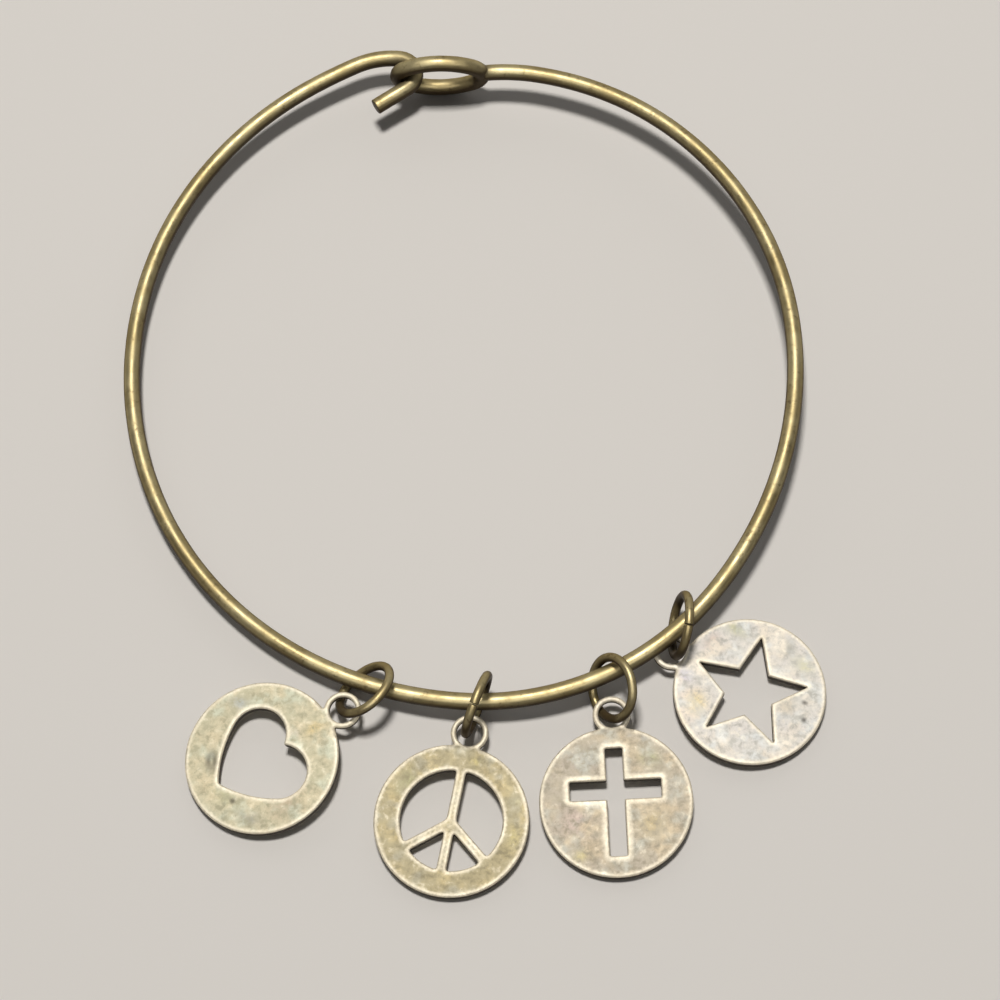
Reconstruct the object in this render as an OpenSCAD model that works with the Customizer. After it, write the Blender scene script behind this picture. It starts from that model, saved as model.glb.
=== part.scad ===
// Charm bangle lying on its side: one round wire whose two ends are bent into a
// hook and an eye, and four pierced round charms, each on its own jump ring.
// Millimetres, +Z up, floor at z = 0. The origin is where the axis through the
// wrist opening meets the floor, +X runs to the right with the charms in front,
// and +Y runs from the charms to the clasp.

/* [Bangle wire] */
// Thickness of the bangle's wire
wire_d = 1.7; // [1.5:0.05:1.75]
// Height of the bangle's plane above the floor, at the origin
bangle_height = 3; // [3:0.05:3.1]
// Rise of the bangle's plane towards the clasp, in degrees
rise_to_clasp = 1.25; // [1.2:0.05:1.5]
// Rise of the bangle's plane towards the right, in degrees
rise_to_right = 1.9; // [1.85:0.05:2]

/* [Clasp] */
// Outside length of the eye
eye_length = 10.7; // [10.5:0.1:10.9]
// Outside height of the eye, which stands on the floor
eye_height = 7.15; // [7.0:0.05:7.3]
// Bend radius of the eye's round ends, at the middle of the wire
eye_end_radius = 2; // [1.6:0.1:2.3]
// Lean of the eye's top towards the charms, in degrees
eye_lean = 5.5; // [3:0.5:7]
// Bend radius of the hook, at the middle of the wire
hook_radius = 2; // [1.95:0.05:2.05]
// Straight length at the hook's cut end
hook_leg = 4; // [2:0.5:6]

/* [Jump rings] */
// Outside diameter of a jump ring
jump_ring_d = 6.9; // [6.8:0.05:6.95]
// Thickness of a jump ring's wire
jump_wire_d = 0.9; // [0.7:0.05:0.9]
// Width of the cut where a jump ring is closed
jump_cut = 0.12; // [0.05:0.01:0.3]

/* [Charms] */
// Thickness of a charm
charm_t = 1.1; // [0.8:0.05:1.1]
// Outside diameter of a charm's bail
bail_d = 3.7; // [3.6:0.05:3.8]
// Hole in the bail that its jump ring passes through
bail_hole_d = 2.6; // [2.5:0.05:2.7]
// Thickness of a bail, at half the height of its charm
bail_t = 0.86; // [0.6:0.02:0.86]
// Width of the cut-out heart
heart_w = 9.7; // [8:0.1:10]
// Radius of the heart's two lobes
heart_lobe_r = 2.7; // [2.5:0.05:2.9]
// Outer radius of the peace sign's window
peace_r = 4.95; // [4.5:0.05:5.3]
// Width of the peace sign's bars
peace_bar = 0.95; // [0.8:0.05:1.5]
// Width of the cut-out cross's upright
cross_bar = 1.65; // [1.4:0.05:2.2]
// Width of the cross's arms
cross_arm = 1.85; // [1.4:0.05:2.2]
// Length of the cross's upright
cross_l = 10.6; // [9:0.1:11.5]
// Length of the cross's arms, from end to end
cross_w = 8.8; // [7:0.1:10]
// Radius of the star's five tips
star_r = 5.65; // [5:0.05:6]

/* [Hidden] */

wire_r = wire_d / 2;
olive_brass = "#8f8152";
pale_brass = "#b3a67c";

// Bends of the bangle's wire, in its own plane: bend radius, and turn in degrees
RADIUS = 0;
TURN = 1;
// From the middle of the front towards the eye, turning left
EYE_SIDE = [[28.5, 52.5], [35.5, 8], [40.5, 40], [35.5, 38.5], [32, 34]];
// From the middle of the front to the hook and round its bend, turning right
HOOK_SIDE = [[38.5, 16.5], [37, 43.5], [39, 41.5], [36, 43], [50, 5.75], [8.5, 33], [hook_radius, 138]];
// Middle of the front, from the bangle's centre, and the wire's direction there
front_y = -36.05;
front_heading = -5.5;
LEFT = 1;
RIGHT = -1;

// Sides of the wire, and the turn from one of its rings to the next: each bend
// is cut into equal parts of about this many degrees
SIDES = 14;
RING_TURN = 4.5;
TIGHT_RING_TURN = 12;
TIGHT_RADIUS = 10;

// Middle of the eye on the floor plan
eye_x = -2.39;
eye_y = 34.5;
// The eye's oval: half its length and height at the middle of the wire, and the
// radius of its long sides that meets the round ends smoothly
eye_a = eye_length / 2 - wire_r;
eye_b = eye_height / 2 - wire_r;
eye_run = eye_a - eye_end_radius;
eye_side_radius = (eye_run ^ 2 + eye_b ^ 2 - eye_end_radius ^ 2) / (2 * (eye_b - eye_end_radius));
eye_end_half = atan2(eye_side_radius - eye_b, eye_run);
eye_z = wire_r + eye_b * cos(eye_lean);
EYE = [
  [eye_end_radius, 2 * eye_end_half], [eye_side_radius, 180 - 2 * eye_end_half],
  [eye_end_radius, 2 * eye_end_half], [eye_side_radius, 180 - 2 * eye_end_half],
];
// The main wire comes in at the eye's right tip, this far up its round end
join_z = bangle_height + (eye_x + eye_a) * sin(rise_to_right) + eye_y * sin(rise_to_clasp);
eye_join = asin((join_z - eye_z) / (eye_end_radius * cos(eye_lean)));
join_x = eye_x + eye_run + eye_end_radius * cos(eye_join);
join_y = eye_y - (join_z - eye_z) * tan(eye_lean);

// Jump rings: middle, then direction of the axis round from +X and down from +Z,
// then turn of the closed cut round that axis
CENTRE = 0;
AROUND = 1;
DOWN = 2;
CUT_TURN = 3;
jump_ring_r = (jump_ring_d - jump_wire_d) / 2;

// Charms: middle of the underside on the floor plan, direction of the bail round
// from +X, lift of the bail end by its jump ring in degrees, disc diameter, and
// distance from the disc's edge to the middle of its bail
PLACE = 0;
BAIL_DIRECTION = 1;
LIFT = 2;
DISC_D = 3;
BAIL_REACH = 4;
HEART = [[-19.1, -41.3], 29.9, 5.62, 15.2, 1.45];
PEACE = [[-0.73, -47.8], 78.6, 3.76, 15, 1.33];
CROSS = [[15.08, -46.15], 92, 3.52, 14.8, 1.33];
STAR = [[28.2, -35.15], 151.1, 3.41, 14.9, 1.08];

HEART_RING = [[-9.21, -34.84, 2.58], -38.1, 136.9, 5];
PEACE_RING = [[1.77, -36.86, 3.45], -21.2, 94.4, 200];
CROSS_RING = [[14.89, -35.2, 2.93], 21.4, 125.4, 40];
STAR_RING = [[21.68, -28.96, 3.34], -3.7, 105.7, 200];

// A place on the wire's middle line after one more bend: x, y and direction
function after(place, bend, side) =
  let (
    x = place[0],
    y = place[1],
    before = place[2],
    now = before + side * bend[TURN],
    r = side * bend[RADIUS]
  )
  [x + r * (sin(now) - sin(before)), y - r * (cos(now) - cos(before)), now];

function places(start, bends, side) = [
  for (i = 0, p = start; i <= len(bends); p = i < len(bends) ? after(p, bends[i], side) : p, i = i + 1) p
];

// Places of the wire's rings along a run of bends, without its last place
function rings(start, bends, side) =
  let (stops = places(start, bends, side))
  [
    for (i = [0 : len(bends) - 1])
      let (
        bend = bends[i],
        parts = ceil(bend[TURN] / (bend[RADIUS] < TIGHT_RADIUS ? TIGHT_RING_TURN : RING_TURN))
      )
      for (k = [0 : parts - 1])
        after(stops[i], [bend[RADIUS], bend[TURN] * k / parts], side)
  ];

function last(list) = list[len(list) - 1];

// The one bend to the left that leads from a place to a point
function bend_to(place, point) =
  let (
    way = [point[0] - place[0], point[1] - place[1]],
    off = atan2(way[1], way[0]) - place[2]
  )
  [norm(way) / (2 * sin(off)), 2 * off];

// A point on the floor plan, in the tilted plane of the bangle
function in_plane(x, y) = [
  (x + y * tan(rise_to_clasp) * sin(rise_to_right)) / cos(rise_to_right),
  y / cos(rise_to_clasp),
];

// The round wire through rings at the given places, which all lie in one plane
module wire(ring_places, closed = false) {
  n = len(ring_places);
  points = [
    for (p = ring_places)
      for (k = [0 : SIDES - 1])
        let (out = wire_r * cos(k * 360 / SIDES), up = wire_r * sin(k * 360 / SIDES))
        [p[0] - out * sin(p[2]), p[1] + out * cos(p[2]), up]
  ];
  walls = [
    for (i = [0 : closed ? n - 1 : n - 2])
      for (k = [0 : SIDES - 1])
        let (here = i * SIDES, there = (i + 1) % n * SIDES, next = (k + 1) % SIDES)
        [here + k, there + k, there + next, here + next]
  ];
  ends = closed ? [] : [
    [for (k = [0 : SIDES - 1]) k],
    [for (k = [SIDES - 1 : -1 : 0]) (n - 1) * SIDES + k],
  ];
  polyhedron(points, concat(walls, ends));
}

module in_bangle_plane() {
  translate([0, 0, bangle_height])
    rotate([rise_to_clasp, -rise_to_right, 0])
      children();
}

// The eye, a closed oval of wire that stands on the floor
module eye() {
  start = [
    eye_run + eye_end_radius * cos(eye_end_half),
    -eye_end_radius * sin(eye_end_half),
    90 - eye_end_half,
  ];
  translate([eye_x, eye_y, eye_z])
    rotate([90 + eye_lean, 0, 0])
      wire(rings(start, EYE, LEFT), closed = true);
}

// One wire from the eye round the front and the left side to the hook's cut end
module bangle() {
  front = [0, front_y, front_heading];
  eye_side = concat(EYE_SIDE, [bend_to(last(places(front, EYE_SIDE, LEFT)), in_plane(join_x, join_y))]);
  eye_side_rings = concat(rings(front, eye_side, LEFT), [last(places(front, eye_side, LEFT))]);
  hook_front = [0, front_y, front_heading + 180];
  hook_bend_end = last(places(hook_front, HOOK_SIDE, RIGHT));
  hook_end = hook_bend_end + hook_leg * [cos(hook_bend_end[2]), sin(hook_bend_end[2]), 0];
  color(olive_brass) {
    in_bangle_plane()
      wire(concat(
        [for (i = [len(eye_side_rings) - 1 : -1 : 1]) eye_side_rings[i] + [0, 0, 180]],
        rings(hook_front, HOOK_SIDE, RIGHT),
        [hook_bend_end, hook_end]
      ));
    eye();
  }
}

module jump_ring(ring) {
  cut_angle = jump_cut / jump_ring_r * 180 / PI;
  color(olive_brass)
    translate(ring[CENTRE])
      rotate([0, ring[DOWN], ring[AROUND]])
        rotate([0, 0, ring[CUT_TURN]])
          rotate_extrude(angle = 360 - cut_angle, $fn = 96)
            translate([jump_ring_r, 0])
              circle(d = jump_wire_d, $fn = 24);
}

// Stands a charm, drawn flat with its bail towards +Y, where it lies
module lay_charm(charm) {
  translate([charm[PLACE][0], charm[PLACE][1], charm[DISC_D] / 2 * sin(charm[LIFT])])
    rotate([0, 0, charm[BAIL_DIRECTION] - 90])
      rotate([charm[LIFT], 0, 0])
        children();
}

// Disc and bail in one casting, pierced by the figure given as children
module pierced_charm(charm) {
  bail_y = charm[DISC_D] / 2 + charm[BAIL_REACH];
  color(pale_brass)
    lay_charm(charm)
      difference() {
        union() {
          linear_extrude(charm_t)
            difference() {
              circle(d = charm[DISC_D], $fn = 128);
              children();
            }
          translate([0, bail_y, (charm_t - bail_t) / 2])
            cylinder(d = bail_d, h = bail_t, $fn = 64);
        }
        translate([0, bail_y, -charm_t])
          cylinder(d = bail_hole_d, h = 3 * charm_t, $fn = 64);
      }
}

// Heart with its point away from the bail: two round lobes that meet in the cleft,
// and two long curves that leave the lobes smoothly and cross at the point
module heart_figure() {
  lobe = [heart_w / 2 - heart_lobe_r, 0.83];
  side_r = 12;
  leaves = -31.4;
  outwards = [cos(leaves), sin(leaves)];
  side_middle = lobe - (side_r - heart_lobe_r) * outwards;
  shoulder = side_middle + side_r * outwards;
  for (side = [-1, 1])
    translate([side * lobe[0], lobe[1]])
      circle(r = heart_lobe_r, $fn = 96);
  intersection() {
    translate(side_middle)
      circle(r = side_r, $fn = 180);
    translate([-side_middle[0], side_middle[1]])
      circle(r = side_r, $fn = 180);
    polygon([
      [heart_w, -heart_w], shoulder, lobe, [-lobe[0], lobe[1]],
      [-shoulder[0], shoulder[1]], [-heart_w, -heart_w],
    ]);
  }
}

// Round window crossed by the sign's upright and two arms
module peace_figure() {
  hub_y = -0.19;
  arm_angle = 51;
  upright_l = 2 * peace_r + 2;
  difference() {
    circle(r = peace_r, $fn = 96);
    translate([-peace_bar / 2, -upright_l / 2])
      square([peace_bar, upright_l]);
    for (side = [-1, 1])
      translate([0, hub_y])
        rotate([0, 0, 180 + side * arm_angle])
          translate([-peace_bar / 2, 0])
            square([peace_bar, 2 * peace_r]);
  }
}

module cross_figure() {
  arms_y = 1.17;
  translate([-cross_bar / 2, -cross_l / 2])
    square([cross_bar, cross_l]);
  translate([-cross_w / 2, arms_y - cross_arm / 2])
    square([cross_w, cross_arm]);
}

// Five-pointed star, one tip turned a little to the right of the bail
module star_figure() {
  notch_r = star_r * 0.43;
  tip_direction = 86.9;
  polygon([
    for (i = [0 : 9])
      let (r = i % 2 == 0 ? star_r : notch_r, a = tip_direction + i * 36)
      [r * cos(a), r * sin(a)]
  ]);
}

module charm_heart() {
  pierced_charm(HEART)
    heart_figure();
}

module charm_peace() {
  pierced_charm(PEACE)
    peace_figure();
}

module charm_cross() {
  pierced_charm(CROSS)
    cross_figure();
}

module charm_star() {
  pierced_charm(STAR)
    star_figure();
}

bangle();
jump_ring(HEART_RING);  // jump_ring_heart
jump_ring(PEACE_RING);  // jump_ring_peace
jump_ring(CROSS_RING);  // jump_ring_cross
jump_ring(STAR_RING);  // jump_ring_star
charm_heart();
charm_peace();
charm_cross();
charm_star();
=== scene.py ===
# Dresses the charm bangle: smooth wire with its hook and eye, jump rings with
# their narrow cuts, and cast charms with rounded, worn edges and small dents.
# Lengths are in millimetres up to the point where a mesh is made, then in metres.
# Angles are in degrees unless math.radians stands round them.
import math

import bmesh
import bpy
import numpy as np
from mathutils import Matrix, Vector, noise
from mathutils.geometry import delaunay_2d_cdt


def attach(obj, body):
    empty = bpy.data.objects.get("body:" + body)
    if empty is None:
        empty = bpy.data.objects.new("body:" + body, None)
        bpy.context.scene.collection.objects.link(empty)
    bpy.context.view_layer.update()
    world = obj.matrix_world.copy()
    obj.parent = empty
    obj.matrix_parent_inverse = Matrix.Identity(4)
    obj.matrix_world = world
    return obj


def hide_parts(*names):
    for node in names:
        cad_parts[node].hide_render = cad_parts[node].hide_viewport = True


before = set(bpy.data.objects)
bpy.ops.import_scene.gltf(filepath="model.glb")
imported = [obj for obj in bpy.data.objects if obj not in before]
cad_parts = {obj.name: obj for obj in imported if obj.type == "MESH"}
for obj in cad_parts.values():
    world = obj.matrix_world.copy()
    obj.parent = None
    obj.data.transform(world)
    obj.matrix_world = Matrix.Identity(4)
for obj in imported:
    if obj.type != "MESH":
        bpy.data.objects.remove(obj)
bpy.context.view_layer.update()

MM = 0.001
LEFT = 1
RIGHT = -1
# Stands in for zero where a length divides
TINY = 1e-9

# Wire of the bangle, as in the part: each bend is a radius and a turn
WIRE_R = 0.85
BANGLE_HEIGHT = 3.0
RISE_TO_CLASP = math.radians(1.25)
RISE_TO_RIGHT = math.radians(1.9)
FRONT_Y = -36.05
FRONT_HEADING = -5.5
HOOK_RADIUS = 2.0
EYE_SIDE = [(28.5, 52.5), (35.5, 8), (40.5, 40), (35.5, 38.5), (32, 34)]
HOOK_SIDE = [(38.5, 16.5), (37, 43.5), (39, 41.5), (36, 43), (50, 5.75), (8.5, 33), (HOOK_RADIUS, 138)]
HOOK_LEG = 4.0

# The eye, an oval that stands on the floor
EYE_X = -2.39
EYE_Y = 34.5
EYE_LENGTH = 10.7
EYE_HEIGHT = 7.15
EYE_A = EYE_LENGTH / 2 - WIRE_R
EYE_B = EYE_HEIGHT / 2 - WIRE_R
EYE_END_RADIUS = 2.0
EYE_LEAN = math.radians(5.5)

# Jump rings: middle, direction of the axis round from +X and down from +Z, and
# turn of the cut round that axis
JUMP_WIRE_R = 0.45
JUMP_RING_R = 3.0
JUMP_CUT = 0.12
JUMP_RINGS = {
    "jump_ring_heart": ((-9.21, -34.84, 2.58), -38.1, 136.9, 5),
    "jump_ring_peace": ((1.77, -36.86, 3.45), -21.2, 94.4, 200),
    "jump_ring_cross": ((14.89, -35.2, 2.93), 21.4, 125.4, 40),
    "jump_ring_star": ((21.68, -28.96, 3.34), -3.7, 105.7, 200),
}

# Charms: middle of the underside on the floor, direction of the bail from +X,
# lift of the bail end, disc diameter, and reach of the bail past the edge
CHARM_T = 1.1
BAIL_T = 0.86
BAIL_R = 1.85
BAIL_HOLE_R = 1.3
CHARMS = {
    "charm_heart": ((-19.1, -41.3), 29.9, 5.62, 15.2, 1.45),
    "charm_peace": ((-0.73, -47.8), 78.6, 3.76, 15.0, 1.33),
    "charm_cross": ((15.08, -46.15), 92.0, 3.52, 14.8, 1.33),
    "charm_star": ((28.2, -35.15), 151.1, 3.41, 14.9, 1.08),
}


# Shader nodes

# Sockets of a colour mix, whose names repeat for each data type
MIX_FIRST = 6
MIX_SECOND = 7
MIX_RESULT = 2
# The way that a piece's noise is shifted in, so that no two pieces look alike
SHIFT_WAY = (1.0, 0.7, 1.3)


def map_range(tree, value, low, high, out_low, out_high):
    node = tree.nodes.new("ShaderNodeMapRange")
    node.interpolation_type = "SMOOTHSTEP"
    node.inputs["From Min"].default_value = low
    node.inputs["From Max"].default_value = high
    node.inputs["To Min"].default_value = out_low
    node.inputs["To Max"].default_value = out_high
    tree.links.new(value, node.inputs["Value"])
    return node.outputs["Result"]


def math_node(tree, operation, a, b):
    """The result, kept between 0 and 1, for two inputs that are numbers or sockets."""
    node = tree.nodes.new("ShaderNodeMath")
    node.operation = operation
    node.use_clamp = True
    for socket, value in zip(node.inputs, (a, b)):
        if isinstance(value, (int, float)):
            socket.default_value = value
        else:
            tree.links.new(value, socket)
    return node.outputs["Value"]


class Nodes:
    """Short names for building one material's node tree."""

    def __init__(self, name):
        self.material = bpy.data.materials.new(name)
        self.material.use_nodes = True
        self.tree = self.material.node_tree
        self.shader = self.tree.nodes["Principled BSDF"]
        self.coords = self.tree.nodes.new("ShaderNodeTexCoord").outputs["Object"]

    def link(self, source, target):
        self.tree.links.new(source, target)

    def noise(self, shift, feature, extra=0, detail=4.0, roughness=0.55, distortion=0.0):
        """Noise with features of about the given size."""
        mapping = self.tree.nodes.new("ShaderNodeMapping")
        mapping.inputs["Location"].default_value = [(shift + extra) * way for way in SHIFT_WAY]
        mapping.inputs["Scale"].default_value = [1 / (feature * MM)] * 3
        self.link(self.coords, mapping.inputs["Vector"])
        node = self.tree.nodes.new("ShaderNodeTexNoise")
        node.inputs["Scale"].default_value = 1.0
        node.inputs["Detail"].default_value = detail
        node.inputs["Roughness"].default_value = roughness
        node.inputs["Distortion"].default_value = distortion
        self.link(mapping.outputs["Vector"], node.inputs["Vector"])
        return node.outputs["Fac"]

    def band(self, value, low, high, out_low=0.0, out_high=1.0):
        """The value, with low made out_low, high made out_high, and smooth between."""
        return map_range(self.tree, value, low, high, out_low, out_high)

    def math(self, operation, a, b):
        return math_node(self.tree, operation, a, b)

    def mix(self, factor, a, b):
        node = self.tree.nodes.new("ShaderNodeMix")
        node.data_type = "RGBA"
        self.link(factor, node.inputs["Factor"])
        for socket, value in ((node.inputs[MIX_FIRST], a), (node.inputs[MIX_SECOND], b)):
            if isinstance(value, tuple):
                socket.default_value = (*value, 1.0)
            else:
                self.link(value, socket)
        return node.outputs[MIX_RESULT]

    def attribute(self, name, output="Fac"):
        node = self.tree.nodes.new("ShaderNodeAttribute")
        node.attribute_name = name
        return node.outputs[output]

    def bump(self, height, strength, distance):
        node = self.tree.nodes.new("ShaderNodeBump")
        node.inputs["Strength"].default_value = strength
        node.inputs["Distance"].default_value = distance * MM
        self.link(height, node.inputs["Height"])
        self.link(node.outputs["Normal"], self.shader.inputs["Normal"])


# Camera and light, in metres but for the camera's place, sensor and lens

# The camera was solved from the outlines of the bangle and the discs
CAMERA_PLACE = (15.131, -128.452, 258.680)
CAMERA_RIGHT = (0.99905, -0.00025, -0.04354)
CAMERA_UP = (0.01786, 0.91431, 0.40463)
CAMERA_SENSOR = 36.0
CAMERA_LENS = 100.8
CAMERA_CLIP = (0.01, 10.0)

KEY_LIGHT = {
    "place": (-0.02, 0.14, 0.79), "size": (0.14, 0.12), "power": 4.4, "colour": (1.0, 0.97, 0.93),
}
# A wide panel over the front that shows only where it is mirrored
PANEL_LIGHT = {
    "place": (0.0, -0.42, 0.8), "size": (1.1, 0.42), "power": 3.6, "colour": (1.0, 0.98, 0.96),
}

# The world by direction: a pale wall starts and is full where a direction points
# back by these shares, and fades out where it points up by these
WORLD_COLOUR = (0.99, 0.97, 0.94, 1.0)
WORLD_DIM = 0.05
WALL_BRIGHT = 0.45
WALL_BACK = (0.1, 0.6)
WALL_TOP = (0.5, 0.9)
HORIZON_TOP = 0.08

FLOOR_SIZE = 1.8
FLOOR_PARTS = 8
FLOOR_COLOUR = (0.80, 0.775, 0.74, 1.0)
FLOOR_ROUGHNESS = 0.7


def add_camera():
    right = Vector(CAMERA_RIGHT)
    up = Vector(CAMERA_UP)
    turn = Matrix((right, up, right.cross(up))).transposed().to_4x4()
    data = bpy.data.cameras.new("camera")
    data.sensor_width = CAMERA_SENSOR
    data.lens = CAMERA_LENS
    data.clip_start, data.clip_end = CAMERA_CLIP
    camera = bpy.data.objects.new("camera", data)
    camera.matrix_world = Matrix.Translation(Vector(CAMERA_PLACE) * MM) @ turn
    bpy.context.collection.objects.link(camera)
    bpy.context.scene.camera = camera


def add_area_light(name, place, size, power, colour):
    """A lamp that faces the middle of the bangle."""
    data = bpy.data.lights.new(name, "AREA")
    data.shape = "RECTANGLE"
    data.size, data.size_y = size
    data.energy = power
    data.color = colour
    light = bpy.data.objects.new(name, data)
    light.location = place
    light.rotation_euler = (-Vector(place)).to_track_quat("-Z", "Y").to_euler()
    bpy.context.collection.objects.link(light)
    return light


def add_world():
    """Dim all round, with a broad pale wall behind the clasp for the metal to mirror."""
    world = bpy.data.worlds.new("studio")
    world.use_nodes = True
    tree = world.node_tree
    background = tree.nodes["Background"]
    background.inputs["Color"].default_value = WORLD_COLOUR
    coords = tree.nodes.new("ShaderNodeTexCoord")
    split = tree.nodes.new("ShaderNodeSeparateXYZ")
    tree.links.new(coords.outputs["Generated"], split.inputs["Vector"])
    back = map_range(tree, split.outputs["Y"], *WALL_BACK, 0.0, 1.0)
    low = map_range(tree, split.outputs["Z"], *WALL_TOP, 1.0, 0.0)
    wall = math_node(tree, "MULTIPLY", back, low)
    strength = map_range(tree, wall, 0.0, 1.0, WORLD_DIM, WALL_BRIGHT)
    # Pale where the floor ends, for low views
    horizon = map_range(tree, split.outputs["Z"], 0.0, HORIZON_TOP, WALL_BRIGHT, 0.0)
    tree.links.new(math_node(tree, "ADD", strength, horizon), background.inputs["Strength"])
    bpy.context.scene.world = world


def add_floor():
    bpy.ops.mesh.primitive_grid_add(
        x_subdivisions=FLOOR_PARTS, y_subdivisions=FLOOR_PARTS, size=FLOOR_SIZE)
    floor = bpy.context.object
    floor.name = "floor"
    material = bpy.data.materials.new("floor")
    material.use_nodes = True
    shader = material.node_tree.nodes["Principled BSDF"]
    shader.inputs["Base Color"].default_value = FLOOR_COLOUR
    shader.inputs["Roughness"].default_value = FLOOR_ROUGHNESS
    floor.data.materials.append(material)


def add_studio():
    add_world()
    add_area_light("key", **KEY_LIGHT)
    panel = add_area_light("panel", **PANEL_LIGHT)
    panel.visible_diffuse = False
    bpy.context.scene.view_settings.view_transform = "Standard"
    add_floor()


# Materials

OLIVE = (0.42, 0.34, 0.17)
PALE_OLIVE = (0.56, 0.48, 0.27)
BROWN = (0.12, 0.075, 0.035)
DARK_BROWN = (0.035, 0.02, 0.008)
WORN = (0.97, 0.90, 0.74)
# Less mirroring at a slant than clean metal has
TARNISHED_TINT = (0.5, 0.42, 0.3, 1.0)
TARNISHED_LEVEL = 0.25
CAST_METALLIC = 0.9
# How far the darkest painted shade and grime stop being metallic
SHADE_AND_GRIME_METAL_LOSS = 0.9

# Each noise: the size of its features, what it adds to the piece's shift, and its form
WIRE_CLOUD = {"feature": 4.0}
WIRE_SPECK = {"feature": 0.45, "extra": 3, "roughness": 0.6}
WIRE_SPECKLED = {"feature": 2.2, "extra": 5}
WIRE_SHEEN = {"feature": 1.1, "extra": 7}
WIRE_GRAIN = {"feature": 0.9, "extra": 11, "detail": 3.0}
CAST_PATCH = {"feature": 1.9, "detail": 5.0, "roughness": 0.62, "distortion": 0.5}
CAST_MOTTLE = {"feature": 0.75, "extra": 9, "detail": 3.0, "roughness": 0.6, "distortion": 0.3}
CAST_FLECK = {"feature": 0.34, "extra": 5, "detail": 3.0, "roughness": 0.6}
CAST_WARM = {"feature": 2.6, "extra": 13, "detail": 2.0}
CAST_COOL = {"feature": 2.2, "extra": 17, "detail": 2.0}

# Each band: the low and high values of the noise, and what they are made where that
# isn't 0 and 1
CLOUD_BAND = (0.38, 0.66)
SPECK_BAND = (0.52, 0.7)
SPECKLED_BAND = (0.4, 0.65, 0.1, 0.6)
WIRE_ROUGHNESS = (0.3, 0.7, 0.4, 0.53)
PATCH_BAND = (0.36, 0.62, 0.7, 0.0)
WARM_BAND = (0.46, 0.68, 0.0, 0.7)
COOL_BAND = (0.48, 0.68, 0.0, 0.7)
MOTTLE_SHADE_BAND = (0.46, 0.72, 0.0, 0.8)
MOTTLE_WORN_BAND = (0.26, 0.46, 0.3, 0.0)
FLECK_SHADE_BAND = (0.48, 0.74, 0.0, 0.55)
FLECK_EDGE_BAND = (0.3, 0.6, 1.0, 0.7)
CAST_ROUGHNESS = (0.3, 0.7, 0.6, 0.74)

WIRE_BUMP = {"strength": 0.3, "distance": 0.03}
CAST_BUMP = {"strength": 0.35, "distance": 0.04}


def wire_material(name, shift, browner):
    n = Nodes(name)
    n.shader.inputs["Specular Tint"].default_value = TARNISHED_TINT
    n.shader.inputs["Specular IOR Level"].default_value = TARNISHED_LEVEL
    colour = n.mix(n.band(n.noise(shift, **WIRE_CLOUD), *CLOUD_BAND), OLIVE, PALE_OLIVE)
    speck = n.band(n.noise(shift, **WIRE_SPECK), *SPECK_BAND)
    speckled = n.band(n.noise(shift, **WIRE_SPECKLED), *SPECKLED_BAND)
    tarnish = n.math("MULTIPLY", speck, speckled)
    colour = n.mix(n.math("ADD", tarnish, browner), colour, BROWN)
    # Painted shade, dark brown and less metallic, on the side that faces down; painted shade and grime
    # where pieces meet
    dark = n.math("MAXIMUM", n.attribute("under"), n.attribute("shade_and_grime"))
    colour = n.mix(dark, colour, DARK_BROWN)
    metallic = n.math("SUBTRACT", 1.0, n.math("MULTIPLY", dark, SHADE_AND_GRIME_METAL_LOSS))
    n.link(metallic, n.shader.inputs["Metallic"])
    n.link(colour, n.shader.inputs["Base Color"])
    n.link(n.band(n.noise(shift, **WIRE_SHEEN), *WIRE_ROUGHNESS), n.shader.inputs["Roughness"])
    n.bump(n.noise(shift, **WIRE_GRAIN), **WIRE_BUMP)
    return n.material


def cast_material(name, shift, shade, warm, cool):
    n = Nodes(name)
    # Painted shade: the walls, the dents and the underside
    dark = n.math("MAXIMUM", n.attribute("wall"), n.attribute("shade_and_grime"))
    metallic = n.math("SUBTRACT", CAST_METALLIC, n.math("MULTIPLY", dark, SHADE_AND_GRIME_METAL_LOSS))
    n.link(metallic, n.shader.inputs["Metallic"])
    patch = n.noise(shift, **CAST_PATCH)
    mottle = n.noise(shift, **CAST_MOTTLE)
    fleck = n.noise(shift, **CAST_FLECK)
    warm_cloud = n.noise(shift, **CAST_WARM)
    cool_cloud = n.noise(shift, **CAST_COOL)
    colour = n.mix(n.band(patch, *PATCH_BAND), n.attribute("tint", "Color"), shade)
    colour = n.mix(n.band(warm_cloud, *WARM_BAND), colour, warm)
    colour = n.mix(n.band(cool_cloud, *COOL_BAND), colour, cool)
    colour = n.mix(n.band(mottle, *MOTTLE_SHADE_BAND), colour, shade)
    colour = n.mix(n.band(mottle, *MOTTLE_WORN_BAND), colour, WORN)
    colour = n.mix(n.band(fleck, *FLECK_SHADE_BAND), colour, shade)
    # Rubbed bright along every edge. Painted shade, dark brown and less metallic, on every wall round
    # the outline and the cut-outs, in dents and on the underside
    worn = n.math("MULTIPLY", n.attribute("edge"), n.band(fleck, *FLECK_EDGE_BAND))
    colour = n.mix(worn, colour, WORN)
    colour = n.mix(dark, colour, DARK_BROWN)
    n.link(colour, n.shader.inputs["Base Color"])
    n.link(n.band(patch, *CAST_ROUGHNESS), n.shader.inputs["Roughness"])
    n.bump(mottle, **CAST_BUMP)
    return n.material


# Meshes and their attributes

def smooth(values, low, high):
    t = np.clip((values - low) / (high - low), 0, 1)
    return t * t * (3 - 2 * t)


def set_attribute(mesh, name, values):
    layer = mesh.attributes.new(name, "FLOAT", "POINT")
    layer.data.foreach_set("value", [float(v) for v in values])


def vertex_values(mesh, name):
    """A vector of each vertex, such as its place or its normal, as rows."""
    flat = np.empty(len(mesh.vertices) * 3)
    mesh.vertices.foreach_get(name, flat)
    return flat.reshape(-1, 3)


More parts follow.
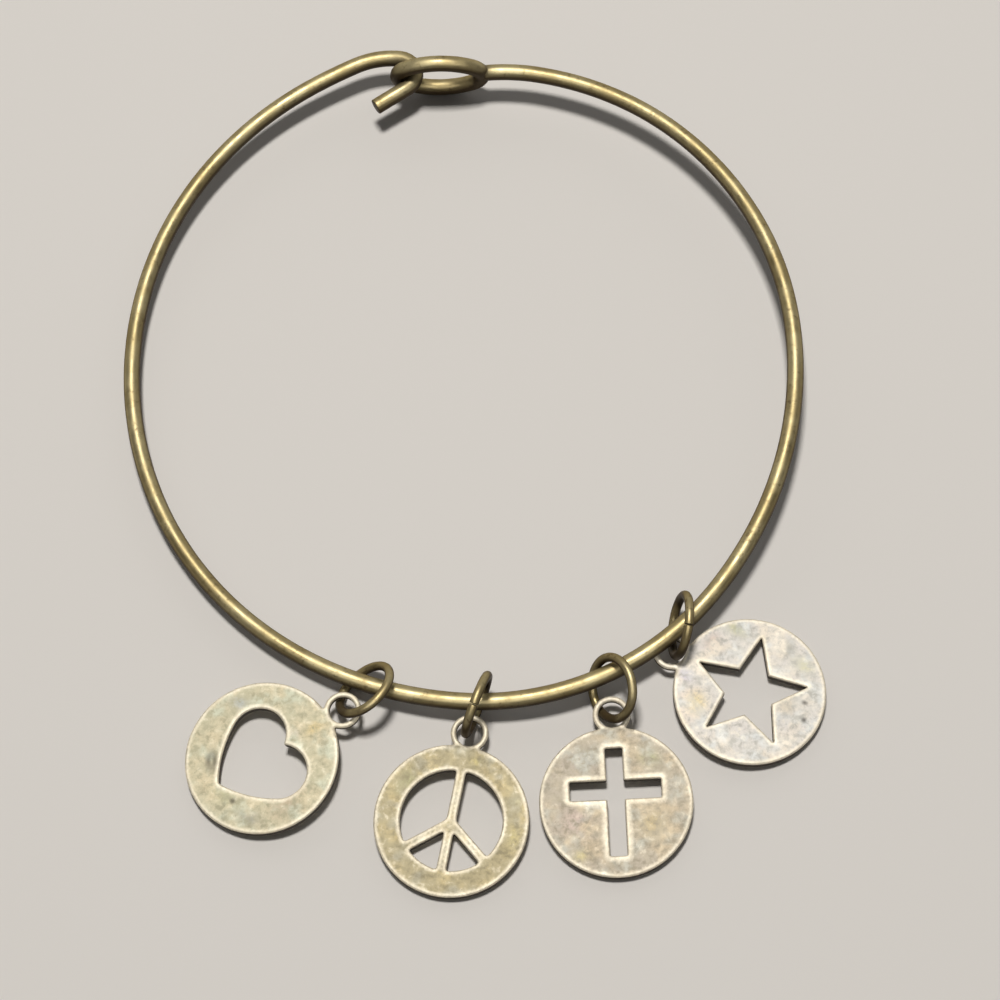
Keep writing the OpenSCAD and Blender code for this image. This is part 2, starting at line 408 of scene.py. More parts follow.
def mesh_object(name, bm):
    bmesh.ops.recalc_face_normals(bm, faces=bm.faces)
    mesh = bpy.data.meshes.new(name)
    bm.to_mesh(mesh)
    bm.free()
    piece = bpy.data.objects.new(name, mesh)
    bpy.context.collection.objects.link(piece)
    return piece


def finish_piece(name, bm, material, node):
    piece = mesh_object(name, bm)
    for polygon in piece.data.polygons:
        # The ends of a wire have more sides, and stay flat
        polygon.use_smooth = len(polygon.vertices) <= 4
    piece.data.materials.append(material)
    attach(piece, "root")
    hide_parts(node)
    return piece


# Wire

# Step along a wire's mesh and points round it
WIRE_STEP = 0.45
EYE_STEP = 0.3
WIRE_SIDES = 24
JUMP_PARTS = 80
JUMP_SIDES = 16

# Rounding of the rim where a wire is cut off, and the angles of its rows
WIRE_CUT_ROUNDING = 0.12
JUMP_CUT_ROUNDING = 0.06
CUT_ROWS = (0.0, math.pi / 6, math.pi / 3, math.pi / 2)

# Slight swell of the wire, as a share of its radius, and how fast it varies
SWELL = 0.006
SWELL_RATE = 0.45

# Painted shade by how far the surface faces up: none above the first, full below the second
UNSHADED_ABOVE = 0.8
FULL_SHADE_BELOW = 0.3
UNDER_PAINTED_SHADE = 0.95

# Darkening where pieces meet: its reach at each kind of place, its strength, and the
# share of the reach that it fades over. It is painted shade where the hook lies against the eye
# and in a bail's hole, painted shade and grime where the wire joins the eye, and grime at a jump ring's
# cut
EYE_JOIN_GRIME_AND_SHADE = 2.0
EYE_HOOK_PAINTED_SHADE = 2.8
CUT_GRIME = 0.4
BAIL_PAINTED_SHADE = 2.6
SHADE_AND_GRIME_DARKNESS = 0.9
SHADE_AND_GRIME_FADE = 0.6

# Jump rings are browner than the bangle, and each piece's noise starts elsewhere
BANGLE_BROWNER = 0.0
JUMP_BROWNER = 0.1
BANGLE_SHIFT = 0.0
JUMP_SHIFT = 20.0
JUMP_SHIFT_STEP = 6


def after(place, bend, side):
    """The place, x, y and heading, that a bend to one side leads to."""
    x, y, before = place
    now = before + side * bend[1]
    r = side * bend[0]
    return (x + r * (math.sin(math.radians(now)) - math.sin(math.radians(before))),
            y - r * (math.cos(math.radians(now)) - math.cos(math.radians(before))), now)


def run(start, bends, side, step):
    """Points of a run of bends at about the given step, and the place where it ends."""
    points = []
    for radius, turn in bends:
        parts = max(2, math.ceil(radius * math.radians(turn) / step))
        points += [after(start, (radius, turn * k / parts), side)[:2] for k in range(parts)]
        start = after(start, (radius, turn), side)
    return points, start


def bend_to(place, point):
    """The one bend to the left that leads from a place to a point."""
    way = (point[0] - place[0], point[1] - place[1])
    off = math.degrees(math.atan2(way[1], way[0])) - place[2]
    return (math.hypot(*way) / (2 * math.sin(math.radians(off))), 2 * off)


def bangle_plane():
    return (Matrix.Translation((0, 0, BANGLE_HEIGHT))
            @ Matrix.Rotation(-RISE_TO_RIGHT, 4, "Y") @ Matrix.Rotation(RISE_TO_CLASP, 4, "X"))


def eye_plane():
    height = WIRE_R + EYE_B * math.cos(EYE_LEAN)
    return Matrix.Translation((EYE_X, EYE_Y, height)) @ Matrix.Rotation(math.pi / 2 + EYE_LEAN, 4, "X")


def eye_points():
    """The eye's oval, from four arcs that run into each other."""
    reach = EYE_A - EYE_END_RADIUS
    side_radius = (reach ** 2 + EYE_B ** 2 - EYE_END_RADIUS ** 2) / (2 * (EYE_B - EYE_END_RADIUS))
    half = math.degrees(math.atan2(side_radius - EYE_B, reach))
    start = (reach + EYE_END_RADIUS * math.cos(math.radians(half)),
             -EYE_END_RADIUS * math.sin(math.radians(half)), 90 - half)
    bends = [(EYE_END_RADIUS, 2 * half), (side_radius, 180 - 2 * half)] * 2
    points, _ = run(start, bends, LEFT, EYE_STEP)
    plane = eye_plane()
    return [plane @ Vector((x, y, 0)) for x, y in points]


def join_on_eye():
    """Where the wire runs into the eye's right end, at the wire's own height there."""
    eye = eye_plane()
    plane = bangle_plane()
    tip = eye @ Vector((EYE_A, 0, 0))
    above = plane.inverted() @ Vector((tip.x, tip.y, 0))
    rise = (plane @ Vector((above.x, above.y, 0))).z - tip.z
    angle = math.asin(rise / (EYE_END_RADIUS * math.cos(EYE_LEAN)))
    return eye @ Vector((EYE_A - EYE_END_RADIUS + EYE_END_RADIUS * math.cos(angle),
                         EYE_END_RADIUS * math.sin(angle), 0))


def main_wire_points():
    """The wire from the eye round the front to the end of the hook."""
    plane = bangle_plane()
    join = plane.inverted() @ join_on_eye()
    eye_side, end = run((0, FRONT_Y, FRONT_HEADING), EYE_SIDE, LEFT, WIRE_STEP)
    last_bend, end = run(end, [bend_to(end, (join.x, join.y))], LEFT, WIRE_STEP)
    hook_side, hook_end = run((0, FRONT_Y, FRONT_HEADING + 180), HOOK_SIDE, RIGHT, WIRE_STEP)
    heading = math.radians(hook_end[2])
    parts = math.ceil(HOOK_LEG / WIRE_STEP)
    leg = [(hook_end[0] + math.cos(heading) * HOOK_LEG * k / parts,
            hook_end[1] + math.sin(heading) * HOOK_LEG * k / parts) for k in range(parts + 1)]
    flat = ((eye_side + last_bend)[1:] + [end[:2]])[::-1] + hook_side + leg
    return [plane @ Vector((x, y, 0)) for x, y in flat]


def tangents_along(points, closed):
    count = len(points)
    tangents = []
    for i in range(count):
        before = points[(i - 1) % count] if closed or i > 0 else points[i]
        later = points[(i + 1) % count] if closed or i < count - 1 else points[i]
        tangents.append((later - before).normalized())
    return tangents


def cut_end(point, inward, radius, rounding):
    """Middles and radii of the rings that round off a cut end, from the wire outwards."""
    return [(point + inward * rounding * (1 - math.sin(a)), radius - rounding * (1 - math.cos(a)))
            for a in CUT_ROWS]


def sweep(points, radius, sides, cut_rounding):
    """A round wire along points. Without a rounding for cut ends, it is a closed loop."""
    bm = bmesh.new()
    closed = cut_rounding is None
    last = len(points) - 1
    tangents = tangents_along(points, closed)
    side_way = tangents[0].orthogonal().normalized()
    rings = []
    for i, point in enumerate(points):
        side_way = (side_way - tangents[i] * side_way.dot(tangents[i])).normalized()
        up_way = tangents[i].cross(side_way)
        places = [(point, radius)]
        if not closed and i == 0:
            places = cut_end(point, tangents[i], radius, cut_rounding)[::-1]
        if not closed and i == last:
            places = cut_end(point, -tangents[i], radius, cut_rounding)
        for centre, r in places:
            ring = []
            for k in range(sides):
                turn = 2 * math.pi * k / sides
                swell = 1 + SWELL * noise.noise(centre * SWELL_RATE + Vector((0, 0, turn)))
                offset = (side_way * math.cos(turn) + up_way * math.sin(turn)) * r * swell
                ring.append(bm.verts.new((centre + offset) * MM))
            rings.append(ring)
    pairs = list(zip(rings, rings[1:]))
    if closed:
        # The frame that the rings carry comes back turned by a few steps
        first, final = rings[0], rings[-1]
        shift = min(range(sides), key=lambda s: (first[s].co - final[0].co).length)
        pairs.append((final, first[shift:] + first[:shift]))
    for a, b in pairs:
        for k in range(sides):
            bm.faces.new((a[k], a[(k + 1) % sides], b[(k + 1) % sides], b[k]))
    if not closed:
        bm.faces.new(rings[0][::-1])
        bm.faces.new(rings[-1])
    return bm


def set_shade_and_grime(piece, spots):
    """Painted shade on the side that faces down, and darkening round each given point to its reach."""
    mesh = piece.data
    up = vertex_values(mesh, "normal")[:, 2]
    # The under attribute is painted shade, dark brown on the side that faces down
    set_attribute(mesh, "under", UNDER_PAINTED_SHADE * smooth(-up, -UNSHADED_ABOVE, -FULL_SHADE_BELOW))
    where = vertex_values(mesh, "co") / MM
    near = np.zeros(len(where))
    for spot, reach in spots:
        near = np.maximum(near, 1 - np.linalg.norm(where - np.array(spot), axis=1) / reach)
    set_attribute(mesh, "shade_and_grime", SHADE_AND_GRIME_DARKNESS * smooth(near, 0.0, SHADE_AND_GRIME_FADE))


def add_bangle():
    main = sweep(main_wire_points(), WIRE_R, WIRE_SIDES, WIRE_CUT_ROUNDING)
    material = wire_material("bangle_brass", BANGLE_SHIFT, BANGLE_BROWNER)
    wire = finish_piece("bangle_wire", main, material, "bangle")
    eye = mesh_object("eye", sweep(eye_points(), WIRE_R, WIRE_SIDES, None))
    union = wire.modifiers.new("union", "BOOLEAN")
    union.operation = "UNION"
    union.solver = "EXACT"
    union.object = eye
    with bpy.context.temp_override(object=wire, active_object=wire, selected_objects=[wire]):
        bpy.ops.object.modifier_apply(modifier="union")
    bpy.data.objects.remove(eye)
    for polygon in wire.data.polygons:
        polygon.use_smooth = True
    join = eye_plane() @ Vector((EYE_A, 0, 0))
    hooked = eye_plane() @ Vector((-EYE_A, 0, 0))
    # Painted shade and grime where the wire joins the eye, painted shade where the hook lies against it
    set_shade_and_grime(wire, [(join, EYE_JOIN_GRIME_AND_SHADE), (hooked, EYE_HOOK_PAINTED_SHADE)])


def charm_plane(place, direction, lift, disc_d):
    """Where a charm's drawing lies: its underside, flat, with the bail up."""
    return (Matrix.Translation((place[0], place[1], disc_d / 2 * math.sin(math.radians(lift))))
            @ Matrix.Rotation(math.radians(direction - 90), 4, "Z")
            @ Matrix.Rotation(math.radians(lift), 4, "X"))


def bail_middle(ring_name):
    """The middle of the bail that a jump ring goes through."""
    place, direction, lift, disc_d, reach = CHARMS[ring_name.replace("jump_ring", "charm")]
    return charm_plane(place, direction, lift, disc_d) @ Vector((0, disc_d / 2 + reach, BAIL_T / 2))


def add_jump_ring(name, centre, around, down, cut_turn, shift):
    turn = (Matrix.Translation(centre) @ Matrix.Rotation(math.radians(around), 4, "Z")
            @ Matrix.Rotation(math.radians(down), 4, "Y")
            @ Matrix.Rotation(math.radians(cut_turn), 4, "Z"))
    gap = JUMP_CUT / JUMP_RING_R
    points = []
    for k in range(JUMP_PARTS + 1):
        angle = (2 * math.pi - gap) * k / JUMP_PARTS
        points.append(turn @ Vector((JUMP_RING_R * math.cos(angle), JUMP_RING_R * math.sin(angle), 0)))
    bm = sweep(points, JUMP_WIRE_R, JUMP_SIDES, JUMP_CUT_ROUNDING)
    material = wire_material(name + "_brass", shift, JUMP_BROWNER)
    piece = finish_piece(name + "_wire", bm, material, name)
    cut = turn @ Vector((JUMP_RING_R, 0, 0))
    # Grime at the cut, and painted shade where the ring runs through the bail's hole
    set_shade_and_grime(piece, [(cut, CUT_GRIME), (bail_middle(name), BAIL_PAINTED_SHADE)])


# The charms' outlines, drawn flat with the bail up

# Step along an outline, and the finer one round a bail's hole
LOOP_STEP = 0.2
HOLE_STEP = 0.15
# Parts of a polygon's round corner, and the most that it cuts off, in corner radii
CORNER_PARTS = 4
CORNER_LIMIT = 1.5

HEART_W = 9.7
HEART_LOBE_R = 2.7
HEART_LOBE_Y = 0.83
HEART_SIDE_R = 12.0
# Direction in which a lobe's arc runs into the side's, seen from the lobe's middle
HEART_LEAVES = -31.4

PEACE_R = 4.95
PEACE_BAR = 0.95
PEACE_HUB_Y = -0.19
# Angle of the arms from the foot
PEACE_ARM = 51

CROSS_BAR = 1.65
CROSS_ARM = 1.85
CROSS_L = 10.6
CROSS_W = 8.8
CROSS_ARMS_Y = 1.17
CROSS_CORNER_R = 0.18

STAR_TIPS = 5
STAR_R = 5.65
STAR_NOTCH_SHARE = 0.43
STAR_TIP_DIRECTION = 86.9
STAR_CORNER_R = 0.1


def on_circle(centre, radius, angle):
    a = math.radians(angle)
    return (centre[0] + radius * math.cos(a), centre[1] + radius * math.sin(a))


def arc(centre, radius, start, end, step=LOOP_STEP):
    """Points from one angle to another, without the last one."""
    parts = max(2, math.ceil(abs(math.radians(end - start)) * radius / step))
    return [on_circle(centre, radius, start + (end - start) * k / parts) for k in range(parts)]


def densify(loop):
    """A closed polygon with points along its sides."""
    dense = []
    for i, point in enumerate(loop):
        a, b = Vector(point), Vector(loop[(i + 1) % len(loop)])
        parts = max(1, round((b - a).length / LOOP_STEP))
        dense += [tuple(a.lerp(b, k / parts)) for k in range(parts)]
    return dense


def soften(loop, passes=2):
    """A closed loop with each point eased towards its neighbours."""
    for _ in range(passes):
        loop = [tuple((Vector(loop[i - 1]) + Vector(p) * 2 + Vector(loop[(i + 1) % len(loop)])) / 4)
                for i, p in enumerate(loop)]
    return loop


def mirrored(loop):
    """A loop's mirror image in the upright axis, which runs the same way round."""
    return [(-x, y) for x, y in loop[::-1]]


def rounded(corners, radius):
    """A polygon with small round corners, and points along its sides."""
    loop = []
    count = len(corners)
    for i, corner in enumerate(corners):
        here = Vector(corner)
        back = (Vector(corners[i - 1]) - here).normalized()
        ahead = (Vector(corners[(i + 1) % count]) - here).normalized()
        half = math.acos(max(-1.0, min(1.0, back.dot(ahead)))) / 2
        cut = min(radius / math.tan(half), radius * CORNER_LIMIT)
        for k in range(CORNER_PARTS + 1):
            t = k / CORNER_PARTS
            loop.append(tuple(here + back * cut * (1 - t) ** 2 + ahead * cut * t ** 2))
    return densify(loop)


def disc_outline(radius, bail_y):
    """The disc and its bail in one outline, with the neck slightly filled."""
    y = (radius ** 2 - BAIL_R ** 2 + bail_y ** 2) / (2 * bail_y)
    x = math.sqrt(radius ** 2 - y ** 2)
    meet = math.degrees(math.atan2(y, x))
    bail_meet = math.degrees(math.atan2(y - bail_y, x))
    disc = arc((0, 0), radius, 180 - meet, 360 + meet)
    bail = arc((0, bail_y), BAIL_R, bail_meet, 180 - bail_meet)
    return soften(disc + bail)


def heart_loops():
    lobe = (HEART_W / 2 - HEART_LOBE_R, HEART_LOBE_Y)
    further = HEART_SIDE_R - HEART_LOBE_R
    side_middle = (lobe[0] - further * math.cos(math.radians(HEART_LEAVES)),
                   lobe[1] - further * math.sin(math.radians(HEART_LEAVES)))
    tip = -math.degrees(math.acos(-side_middle[0] / HEART_SIDE_R))
    cleft = math.degrees(math.acos(-lobe[0] / HEART_LOBE_R))
    side = arc(side_middle, HEART_SIDE_R, tip, HEART_LEAVES)
    right = side + arc(lobe, HEART_LOBE_R, HEART_LEAVES, cleft)
    middle = [on_circle(lobe, HEART_LOBE_R, cleft)]
    return [soften(right + middle + mirrored(right[1:]), passes=1)]


def peace_loops():
    """The two windows right of the upright bar, and their mirror images."""
    half = PEACE_BAR / 2
    way = (math.sin(math.radians(PEACE_ARM)), -math.cos(math.radians(PEACE_ARM)))
    out = (-way[1] * half, way[0] * half)
    above_arm = (out[0], PEACE_HUB_Y + out[1])
    below_arm = (-out[0], PEACE_HUB_Y - out[1])

    def corner(point):
        """Where an arm's edge through a point leaves the upright bar."""
        return (half, point[1] + (half - point[0]) * way[1] / way[0])

    def rim_angle(point):
        """Direction, from the middle, in which an arm's edge through a point meets the rim."""
        along = point[0] * way[0] + point[1] * way[1]
        t = -along + math.sqrt(along ** 2 - point[0] ** 2 - point[1] ** 2 + PEACE_R ** 2)
        return math.degrees(math.atan2(point[1] + way[1] * t, point[0] + way[0] * t))

    top = math.degrees(math.acos(half / PEACE_R))
    windows = ((above_arm, rim_angle(above_arm), top), (below_arm, -top, rim_angle(below_arm)))
    loops = []
    for point, start, end in windows:
        rim = arc((0, 0), PEACE_R, start, end) + [on_circle((0, 0), PEACE_R, end)]
        window = soften(densify([corner(point)] + rim))
        loops += [window, mirrored(window)]
    return loops


def cross_loops():
    bar, width, length = CROSS_BAR / 2, CROSS_W / 2, CROSS_L / 2
    top, low = CROSS_ARMS_Y + CROSS_ARM / 2, CROSS_ARMS_Y - CROSS_ARM / 2
    corners = [(bar, -length), (bar, low), (width, low), (width, top), (bar, top), (bar, length)]
    return [rounded(corners + mirrored(corners), CROSS_CORNER_R)]


def star_loops():
    radii = (STAR_R, STAR_R * STAR_NOTCH_SHARE)
    corners = [on_circle((0, 0), radii[i % 2], STAR_TIP_DIRECTION + i * 180 / STAR_TIPS)
               for i in range(2 * STAR_TIPS)]
    return [rounded(corners, STAR_CORNER_R)]


# The charms' faces

EDGE_ROUND = 0.2
BAIL_EDGE_ROUND = 0.26
# Heights of the wall's rows, as shares of half its straight part
WALL_LEVELS = (0.92, 0.0, -0.92)
# The thickness eases down to the bail's over this much inside the disc's edge, and
# this much to either side of the bail
BAIL_EASE = 0.45
BAIL_EASE_SIDE = 0.2
# Slight hollows of the face: their depth, and how fast they vary
RELIEF = 0.012
RELIEF_RATE = 0.35

# Rows of points beside an edge, in roundings, and the least distance from it
EDGE_ROWS = (0.15, 0.5, 1.0, 1.6)
EDGE_CLEAR = 0.025
# The grid between the edges: its spacing, its row spacing as a share of that, the
# shifts of its odd and even rows, and its margin round the casting
GRID = 0.28
GRID_ROW = 0.866
GRID_SHIFTS = (0.5, 0.0)
GRID_MARGIN = 1
# Points over a dent: how far out, in dent sizes, with a little more to take in the
# last one, and how close together
DENT_REACH = 1.6
DENT_LAST = 0.01
DENT_STEP = 0.1
# Cells that hold one point each: fine ones up to this many roundings from an edge
FINE_REACH = 1.7
FINE_CELL = 0.07
COARSE_CELL = 0.2
# How fast a spot fades from its middle, and where it counts as ended
SPOT_FADE = 1.5
SPOT_END = 0.03
# Welding distance of the triangulation
WELD = 1e-6


def inside(points, loop):
    """Which points lie in a closed loop, by crossings."""
    x, y = points[:, 0], points[:, 1]
    result = np.zeros(len(points), bool)
    loop = np.array(loop)
    for (x0, y0), (x1, y1) in zip(loop, np.roll(loop, -1, axis=0)):
        if y0 == y1:
            continue
        crosses = ((y0 > y) != (y1 > y)) & (x < (x1 - x0) * (y - y0) / (y1 - y0) + x0)
        result ^= crosses
    return result


def on_casting(points, loops):
    """Which points lie inside the first loop and outside the others."""
    result = inside(points, loops[0])
    for hole in loops[1:]:
        result &= ~inside(points, hole)
    return result


def edge_distance(points, loops):
    """Distance of each point to the nearest stretch of the loops."""
    nearest = np.full(len(points), np.inf)
    for loop in loops:
        loop = np.array(loop)
        for a, b in zip(loop, np.roll(loop, -1, axis=0)):
            way = b - a
            t = np.clip((points - a) @ way / max(way @ way, TINY), 0, 1)
            nearest = np.minimum(nearest, np.linalg.norm(points - a - t[:, None] * way, axis=1))
    return nearest


def offset_points(loop, distance):
    """A loop moved square to itself by a distance, to the right where that is negative."""
    loop = np.array(loop)
    way = np.roll(loop, -1, axis=0) - np.roll(loop, 1, axis=0)
    normal = np.stack([-way[:, 1], way[:, 0]], axis=1)
    normal /= np.maximum(np.linalg.norm(normal, axis=1), TINY)[:, None]
    return loop + normal * distance


def in_spot(points, spot):
    """How strongly each point lies in an oval spot: middle, half lengths and turn."""
    x, y, size_x, size_y, turn = spot
    c, s = math.cos(math.radians(turn)), math.sin(math.radians(turn))
    u = ((points[:, 0] - x) * c + (points[:, 1] - y) * s) / size_x
    v = ((points[:, 1] - y) * c - (points[:, 0] - x) * s) / size_y
    return np.exp(-(u ** 2 + v ** 2) * SPOT_FADE)


def candidate_points(loops, radius, bail_y, dents):
    """Points beside every edge, on a grid, and close together over the dents."""
    points = []
    for loop in loops:
        for share in EDGE_ROWS:
            points += [offset_points(loop, EDGE_ROUND * share), offset_points(loop, -EDGE_ROUND * share)]
    left, right = -radius - GRID_MARGIN, radius + GRID_MARGIN
    rows = np.arange(left, bail_y + BAIL_R + GRID_MARGIN, GRID * GRID_ROW)
    for i, row in enumerate(rows):
        columns = np.arange(left, right, GRID) + GRID_SHIFTS[i % 2] * GRID
        points.append(np.stack([columns, np.full(len(columns), row)], axis=1))
    for x, y, size_x, size_y, _, _ in dents:
        size = max(size_x, size_y)
        steps = np.arange(-DENT_REACH, DENT_REACH + DENT_LAST, DENT_STEP / size) * size
        across, along = np.meshgrid(x + steps, y + steps)
        points.append(np.stack([across.ravel(), along.ravel()], axis=1))
    return np.concatenate(points)


def thinned(points, loops, dents):
    """The points clear of the edges, one to a cell, where edges and dents have fine cells."""
    distance = edge_distance(points, loops)
    points = points[distance > EDGE_CLEAR]
    distance = distance[distance > EDGE_CLEAR]
    fine = distance < EDGE_ROUND * FINE_REACH
    for *spot, _ in dents:
        fine |= in_spot(points, spot) > SPOT_END
    chosen = []
    cells = set()
    for i in np.argsort(distance):
        spacing = FINE_CELL if fine[i] else COARSE_CELL
        cell = (int(points[i][0] / spacing), int(points[i][1] / spacing), spacing)
        if cell not in cells:
            cells.add(cell)
            chosen.append(i)
    return points[chosen]


def charm_mesh(radius, reach, figure, dents):
    """The charm's flat face as dense triangles, closest together along its edges."""
    bail_y = radius + reach
    bail_hole = arc((0, bail_y), BAIL_HOLE_R, 0, 360, HOLE_STEP)[::-1]
    loops = [disc_outline(radius, bail_y), bail_hole] + figure
    outline = np.array([p for loop in loops for p in loop])
    free = candidate_points(loops, radius, bail_y, dents)
    free = thinned(free[on_casting(free, loops)], loops, dents)
    edges = []
    start = 0
    for loop in loops:
        count = len(loop)
        edges += [(start + k, start + (k + 1) % count) for k in range(count)]
        start += count
    points = [Vector(p) for p in np.concatenate([outline, free])]
    verts, _, faces, _, _, _ = delaunay_2d_cdt(points, edges, [], 0, WELD)
    verts = np.array([tuple(v) for v in verts])
    middles = np.array([verts[list(f)].mean(axis=0) for f in faces])
    faces = [f for f, kept in zip(faces, on_casting(middles, loops)) if kept]
    return verts, faces, loops


def thickness_half(points, radius):
    """Half the thickness: the disc's, easing down to the bail's inside the disc's edge."""
    ease = smooth(np.linalg.norm(points, axis=1), radius - BAIL_EASE, radius)
    at_bail = (points[:, 1] > 0) & (np.abs(points[:, 0]) < BAIL_R + BAIL_EASE_SIDE)
    return CHARM_T / 2 + (BAIL_T - CHARM_T) / 2 * ease * at_bail


# The charms' castings

# Rubbed rim along the edges: its middle and reach, and its reach on the bail
RIM_MIDDLE = 0.1
RIM_REACH = 0.3
BAIL_RIM_REACH = 0.5
# Painted shade in dents of this depth and more, and on the underside
DENT_DARK_DEPTH = 0.05
DENT_PAINTED_SHADE = 0.6
UNDERSIDE_PAINTED_SHADE = 0.5
STAIN_STRENGTH = 0.9
CHARM_SHIFT = 40.0
CHARM_SHIFT_STEP = 9

# Each casting's figure, the reach of the rubbed halo round it, its base colour with a
# darker shade and warm and cool clouds, its dents and its stains. A spot is given by
# its middle, half lengths and turn, then by its depth or colour. A dent with negative
# depth is raised inside another.
YELLOW = (0.66, 0.58, 0.30)
GREY = (0.38, 0.38, 0.33)
BLUISH = (0.50, 0.54, 0.56)
PINKISH = (0.64, 0.53, 0.47)
WHITISH = (0.74, 0.71, 0.64)
GREENISH = (0.50, 0.50, 0.30)
RUBBED = (0.72, 0.66, 0.49)
LOOKS = {
    "charm_heart": {
        "figure": heart_loops, "halo": 0.36, "base": (0.65, 0.60, 0.44),
        "shade": (0.40, 0.38, 0.27), "warm": (0.67, 0.59, 0.42), "cool": (0.57, 0.60, 0.49),
        "dents": [(-2.31, -4.4, 0.55, 0.95, 60, 0.09), (-2.31, -4.4, 0.3, 0.65, 60, -0.08),
                  (2.33, -4.52, 0.28, 0.28, 0, 0.07)],
        "stains": [(-5.9, 0.9, 1.3, 0.7, 40, BLUISH), (0.2, 5.9, 0.7, 1.2, 0, (0.72, 0.60, 0.34)),
                   (1.0, -5.2, 1.6, 0.8, 20, GREENISH), (4.6, -3.9, 1.5, 0.9, 30, GREY),
                   (5.5, 0.0, 1.5, 2.2, 0, (0.56, 0.465, 0.35)), (-0.4, 3.9, 0.7, 0.5, 0, WHITISH)],
    },
    "charm_peace": {
        "figure": peace_loops, "halo": 0.3, "base": (0.49, 0.43, 0.28),
        "shade": (0.31, 0.275, 0.18), "warm": (0.56, 0.47, 0.27), "cool": (0.43, 0.41, 0.33),
        "dents": [],
        "stains": [(-0.6, 6.9, 1.2, 0.6, 0, (0.50, 0.49, 0.40)), (1.3, 6.0, 0.7, 0.5, 0, YELLOW),
                   (2.7, 6.1, 0.7, 0.7, 0, GREY), (-5.1, 3.0, 0.9, 1.6, -30, GREENISH),
                   (5.5, 3.0, 0.8, 1.6, 25, (0.50, 0.48, 0.36)), (6.2, -0.4, 0.7, 1.6, 0, YELLOW),
                   # A painted glint: this small near-white spot
                   (5.98, 2.83, 0.3, 0.3, 0, (0.95, 0.90, 0.62)),
                   (0.0, 2.0, 0.7, 3.4, 0, RUBBED), (0.0, -2.9, 0.7, 2.2, 0, RUBBED),
                   (1.94, -1.76, 2.6, 0.7, -39, RUBBED), (-1.94, -1.76, 2.6, 0.7, 39, RUBBED)],
    },
    "charm_cross": {
        "figure": cross_loops, "halo": 0.55, "base": (0.54, 0.485, 0.40),
        "shade": (0.34, 0.305, 0.235), "warm": (0.57, 0.48, 0.34), "cool": (0.48, 0.485, 0.43),
        "dents": [],
        "stains": [(-2.9, 4.4, 1.7, 1.3, 20, (0.50, 0.46, 0.43)), (-3.9, -2.0, 1.5, 1.8, 0, PINKISH),
                   (3.4, -2.4, 1.9, 2.1, 0, (0.62, 0.52, 0.32)), (3.3, 4.2, 1.4, 1.0, -30, GREENISH),
                   (-3.7, -5.2, 1.0, 0.7, 40, YELLOW), (2.3, 6.3, 1.0, 0.6, 0, BLUISH),
                   (-0.4, -6.0, 0.9, 0.6, 0, GREY)],
    },
    "charm_star": {
        "figure": star_loops, "halo": 0.3, "base": (0.72, 0.69, 0.65),
        "shade": (0.45, 0.44, 0.40), "warm": (0.76, 0.69, 0.58), "cool": (0.63, 0.65, 0.64),
        "dents": [(1.52, -5.26, 0.22, 0.3, 0, 0.05), (-0.1, -5.96, 0.25, 0.25, 0, 0.06)],
        "stains": [(-4.2, 4.8, 2.2, 2.0, 0, (0.84, 0.75, 0.67)),
                   (-3.6, 4.0, 1.4, 1.2, 30, (0.80, 0.69, 0.42)),
                   (-1.6, 6.2, 1.1, 0.9, 0, (0.70, 0.67, 0.78)), (2.6, 5.6, 1.1, 0.9, 0, PINKISH),
                   (5.0, 4.0, 0.7, 1.4, 0, GREENISH), (5.6, -1.2, 1.0, 0.8, 0, GREY),
                   (4.9, -3.4, 0.8, 1.2, 0, (0.68, 0.66, 0.42)),
                   (2.6, -5.4, 1.2, 0.9, 20, WHITISH), (0.3, -3.9, 1.0, 0.8, 0, GREY)],
    },
}


def edge_drop(distance, round_r):
    """How far a rounded edge lies below the face, by the distance to the edge."""
    d = np.minimum(distance, round_r)
    return round_r - np.sqrt(np.maximum(round_r ** 2 - (round_r - d) ** 2, 0))


def casting(lay, verts, faces, loops, top, under, straight):
    """A closed casting: upper vertices, then lower ones, then the rows of each wall."""
    bm = bmesh.new()

    def vertex(i, height):
        return bm.verts.new(lay @ Vector((verts[i][0], verts[i][1], CHARM_T / 2 + height)) * MM)

    upper = [vertex(i, height) for i, height in enumerate(top)]
    lower = [vertex(i, height) for i, height in enumerate(under)]
    for face in faces:
        bm.faces.new([upper[i] for i in face])
        bm.faces.new([lower[i] for i in reversed(face)])
    start = 0
    for loop in loops:
        around = range(start, start + len(loop))
        rows = [[upper[i] for i in around]]
        for level in WALL_LEVELS:
            rows.append([vertex(i, level * straight[i]) for i in around])
        rows.append([lower[i] for i in around])
        for a, b in zip(rows, rows[1:]):
            for k in range(len(loop)):
                n = (k + 1) % len(loop)
                bm.faces.new((a[k], a[n], b[n], b[k]))
        start += len(loop)
    return bm


def stained(verts, base, stains):
    """The face's colour at each vertex."""
    tint = np.tile(np.array(base), (len(verts), 1))
    for *spot, colour in stains:
        share = in_spot(verts, spot)[:, None] * STAIN_STRENGTH
        tint += (np.array(colour) - tint) * share
    return tint


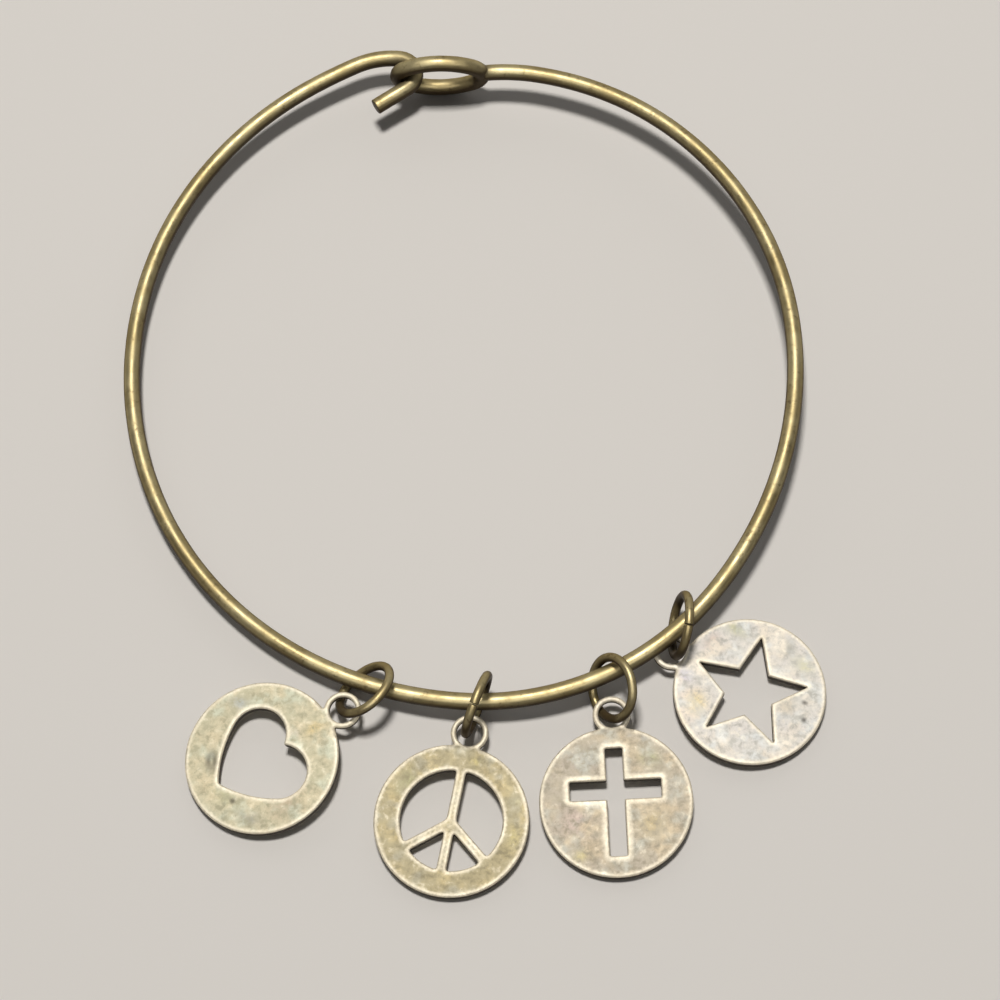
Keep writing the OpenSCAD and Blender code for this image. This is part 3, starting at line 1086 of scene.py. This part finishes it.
def add_charm(name, place, direction, lift, disc_d, reach, looks, shift):
    radius = disc_d / 2
    figure = looks["figure"]()
    verts, faces, loops = charm_mesh(radius, reach, figure, looks["dents"])
    distance = edge_distance(verts, loops)
    distance[:sum(len(loop) for loop in loops)] = 0
    on_bail = np.linalg.norm(verts, axis=1) > radius
    round_r = np.where(on_bail, BAIL_EDGE_ROUND, EDGE_ROUND)
    half = thickness_half(verts, radius)
    rounded_half = half - edge_drop(distance, round_r)
    seed = len(name)
    relief = np.array([noise.noise(Vector((x * RELIEF_RATE, y * RELIEF_RATE, seed))) for x, y in verts])
    sunk = np.zeros(len(verts))
    for *spot, depth in looks["dents"]:
        sunk += depth * in_spot(verts, spot)
    top = rounded_half + np.minimum(relief * RELIEF, 0) - sunk
    lay = charm_plane(place, direction, lift, disc_d)
    bm = casting(lay, verts, faces, loops, top, -rounded_half, half - round_r)
    material = cast_material(name + "_brass", shift, looks["shade"], looks["warm"], looks["cool"])
    piece = finish_piece(name + "_casting", bm, material, name)

    count = len(verts)
    walls = len(piece.data.vertices) - 2 * count
    rim = 1 - np.abs(distance - RIM_MIDDLE) / np.where(on_bail, BAIL_RIM_REACH, RIM_REACH)
    halo = 1 - np.abs(edge_distance(verts, figure) - RIM_MIDDLE) / looks["halo"]
    worn = np.sqrt(np.clip(np.maximum(rim, halo), 0, 1))
    # Painted shade in the dents and on the underside
    dent_shade = np.clip(sunk / DENT_DARK_DEPTH, 0, 1) * DENT_PAINTED_SHADE
    underside = np.full(count, UNDERSIDE_PAINTED_SHADE)
    set_attribute(piece.data, "edge", np.concatenate([worn, worn, np.zeros(walls)]))
    # Full painted shade on every wall
    set_attribute(piece.data, "wall", np.concatenate([np.zeros(2 * count), np.ones(walls)]))
    set_attribute(piece.data, "shade_and_grime", np.concatenate([dent_shade, underside, np.zeros(walls)]))
    plain = np.tile(np.array(looks["base"]), (count + walls, 1))
    tint = np.concatenate([stained(verts, looks["base"], looks["stains"]), plain])
    layer = piece.data.attributes.new("tint", "FLOAT_COLOR", "POINT")
    layer.data.foreach_set("color", np.hstack([tint, np.ones((len(tint), 1))]).ravel())


add_camera()
add_studio()
add_bangle()
for order, (name, ring) in enumerate(JUMP_RINGS.items()):
    add_jump_ring(name, *ring, JUMP_SHIFT + JUMP_SHIFT_STEP * order)
for order, (name, charm) in enumerate(CHARMS.items()):
    add_charm(name, *charm, LOOKS[name], CHARM_SHIFT + CHARM_SHIFT_STEP * order)
